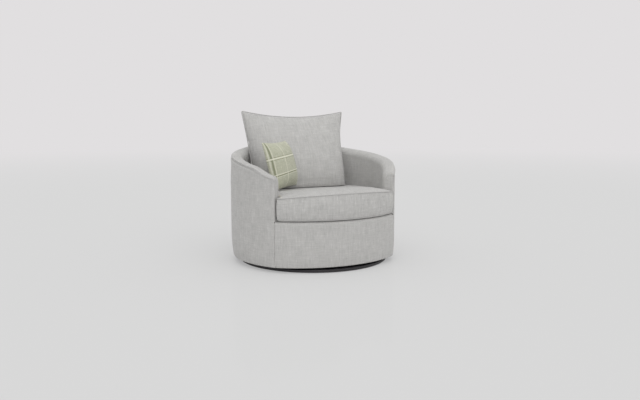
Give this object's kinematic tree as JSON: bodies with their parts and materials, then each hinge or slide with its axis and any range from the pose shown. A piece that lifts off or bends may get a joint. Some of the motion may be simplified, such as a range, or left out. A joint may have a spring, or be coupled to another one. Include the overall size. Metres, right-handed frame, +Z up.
{
  "type": "swivel cuddle chair",
  "caption": "Round swivel cuddle chair: a curved upholstered wall on a low plinth, with a T-shaped seat cushion, a loose back cushion and a checked scatter cushion.",
  "frame": {"origin": "on the swivel axis, at the underside of the floor pad", "axes": "+Z up; -Y the way a sitter faces; +X to the right as seen from the front"},
  "size_m": [1.0624, 1.0092, 0.9597],
  "materials": {
    "grey_upholstery": "soft woven, plain",
    "checked_cloth": "woven check in sage and cream",
    "foam": "open-cell foam",
    "wadding": "polyester wadding",
    "black_cloth": "non-woven underlining",
    "felt": "pressed felt",
    "timber": "raw softwood and plywood",
    "fibreboard": "raw fibreboard",
    "plinth": "satin charcoal lacquer",
    "bearing_steel": "pressed steel, zinc plated",
    "fastener": "zinc plated",
    "spring_wire": "drawn wire",
    "zip_nylon": "coil zip tape"
  },
  "bodies": {
    "base": {"base_floor_pad": "felt", "base_plinth": "plinth", "swivel_lower_plate": "bearing_steel", "swivel_pivot_pin": "bearing_steel", "lower_plate_screw_1": "fastener", "lower_plate_screw_2": "fastener", "lower_plate_screw_3": "fastener", "lower_plate_screw_4": "fastener"},
    "ball_cage": {"swivel_ball_cage": "bearing_steel"},
    "chair": {"swivel_upper_plate": "bearing_steel", "upper_plate_bolt_1": "fastener", "upper_plate_bolt_2": "fastener", "upper_plate_bolt_3": "fastener", "upper_plate_bolt_4": "fastener", "frame_bottom_board": "timber", "frame_front_panel": "timber", "frame_front_seat_rail": "timber", "frame_side_seat_rail_right": "timber", "frame_side_seat_rail_left": "timber", "frame_rear_seat_rail": "timber", "frame_rear_rail_support": "timber", "frame_top_rail": "timber", "frame_arm_front_post_right": "timber", "frame_arm_front_post_left": "timber", "frame_wall_post_1": "timber", "frame_wall_post_2": "timber", "frame_wall_post_3": "timber", "frame_wall_post_4": "timber", "outer_back_panel": "fibreboard", "inner_back_panel": "fibreboard", "seat_spring_1": "spring_wire", "seat_spring_2": "spring_wire", "seat_spring_3": "spring_wire", "seat_spring_4": "spring_wire", "seat_spring_5": "spring_wire", "spring_hold_down_front": "spring_wire", "spring_hold_down_rear": "spring_wire", "deck_pad": "wadding", "deck_cloth": "grey_upholstery", "inside_cover": "grey_upholstery", "outside_cover": "grey_upholstery", "rim_cover": "grey_upholstery", "rim_welt": "grey_upholstery", "front_border_cover": "grey_upholstery", "dust_cover": "black_cloth", "wall_foam": "foam", "rim_foam": "foam", "border_foam": "foam"},
    "seat_cushion": {"seat_cushion_cover": "grey_upholstery", "seat_cushion_foam": "foam", "seat_cushion_top_welt": "grey_upholstery", "seat_cushion_bottom_welt": "grey_upholstery", "seat_cushion_zip": "zip_nylon"},
    "seat_zip_slider": {"seat_cushion_zip_slider": "fastener"},
    "back_cushion": {"back_cushion_cover": "grey_upholstery", "back_cushion_filling": "wadding", "back_cushion_piping": "grey_upholstery", "back_cushion_zip": "zip_nylon"},
    "scatter_cushion": {"scatter_cushion_cover": "checked_cloth", "scatter_cushion_filling": "wadding"}
  },
  "joints": [
    {"name": "swivel", "type": "hinge", "parent": "base", "child": "chair", "pos_m": [0, 0, 0.028], "axis": [0, 0, 1], "continuous": true},
    {"name": "cage_roll", "type": "hinge", "parent": "base", "child": "ball_cage", "pos_m": [0, 0, 0.028], "axis": [0, 0, 1], "continuous": true},
    {"name": "seat_lift", "type": "slide", "parent": "chair", "child": "seat_cushion", "axis": [0, 0, 1], "range_m": [0, 0.45]},
    {"name": "back_lift", "type": "slide", "parent": "seat_cushion", "child": "back_cushion", "axis": [0, 0, 1], "range_m": [0, 0.35]},
    {"name": "scatter_lift", "type": "slide", "parent": "back_cushion", "child": "scatter_cushion", "axis": [0.3006, -0.501, 0.8116], "range_m": [0, 0.4]},
    {"name": "seat_zip_slide", "type": "slide", "parent": "seat_cushion", "child": "seat_zip_slider", "axis": [1, 0, 0], "range_m": [-0.27, 0]}
  ],
  "couplings": [
    {"joint": "cage_roll", "follows": "swivel", "ratio": 0.5}
  ]
}
